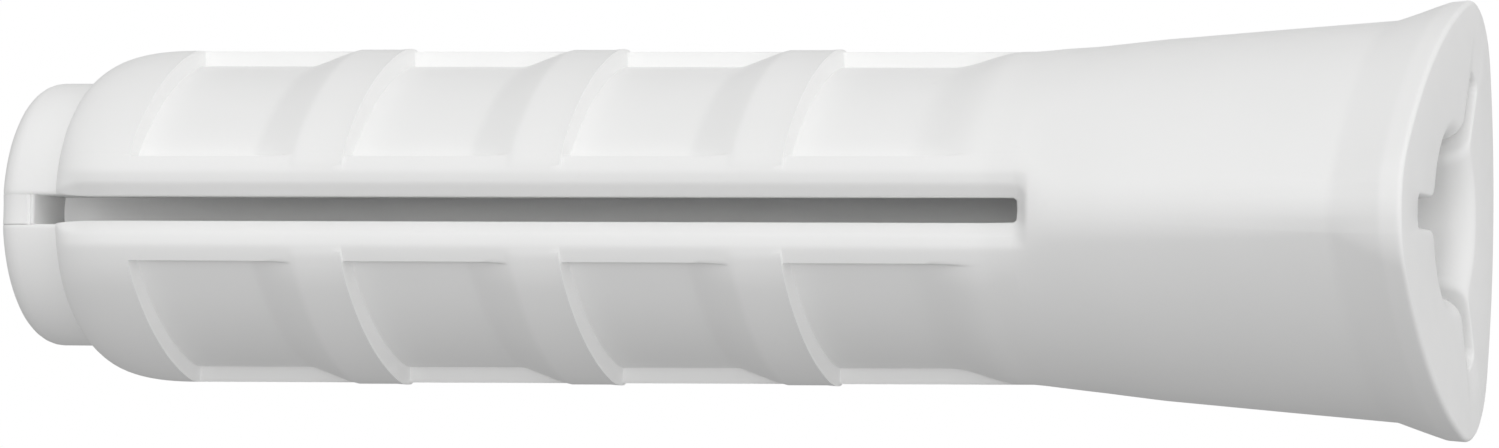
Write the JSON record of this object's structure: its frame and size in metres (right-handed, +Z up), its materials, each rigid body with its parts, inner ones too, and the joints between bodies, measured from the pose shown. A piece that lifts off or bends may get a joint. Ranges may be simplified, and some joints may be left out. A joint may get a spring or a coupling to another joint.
{
  "type": "wall anchor",
  "caption": "White nylon expansion plug with a flared three-cornered collar, a grooved screw bore and slotted, barbed legs that spread apart in a drilled hole.",
  "frame": {"origin": "centre of the collar's outer face, on the axis of the screw bore, flush with the wall's surface", "axes": "+X out of the wall along the screw, with the tip at -X; -Y towards the front slot; +Z up"},
  "size_m": [0.04, 0.0114, 0.0118],
  "materials": {
    "nylon": "satin moulded white nylon"
  },
  "bodies": {
    "head": {"collar": "nylon", "neck": "nylon", "living_hinge_1": "nylon", "living_hinge_2": "nylon", "living_hinge_3": "nylon"},
    "leg_1": {"leg_1": "nylon", "tip_web_1": "nylon"},
    "leg_2": {"leg_2": "nylon", "tip_web_2": "nylon"},
    "leg_3": {"leg_3": "nylon", "tip_web_3": "nylon"}
  },
  "joints": [
    {"name": "leg_1_spread", "type": "hinge", "parent": "head", "child": "leg_1", "pos_m": [-0.0118, -0.0013, 0.00225], "axis": [0, 0.866, 0.5], "range_deg": [0, 4], "stiffness_Nm_per_rad": 0.2},
    {"name": "leg_2_spread", "type": "hinge", "parent": "head", "child": "leg_2", "pos_m": [-0.0118, 0.0026, 0], "axis": [0, 0, -1], "range_deg": [0, 4], "stiffness_Nm_per_rad": 0.2},
    {"name": "leg_3_spread", "type": "hinge", "parent": "head", "child": "leg_3", "pos_m": [-0.0118, -0.0013, -0.00225], "axis": [0, -0.866, 0.5], "range_deg": [0, 4], "stiffness_Nm_per_rad": 0.2}
  ],
  "couplings": [
    {"joint": "leg_2_spread", "follows": "leg_1_spread", "ratio": 1},
    {"joint": "leg_3_spread", "follows": "leg_1_spread", "ratio": 1}
  ]
}
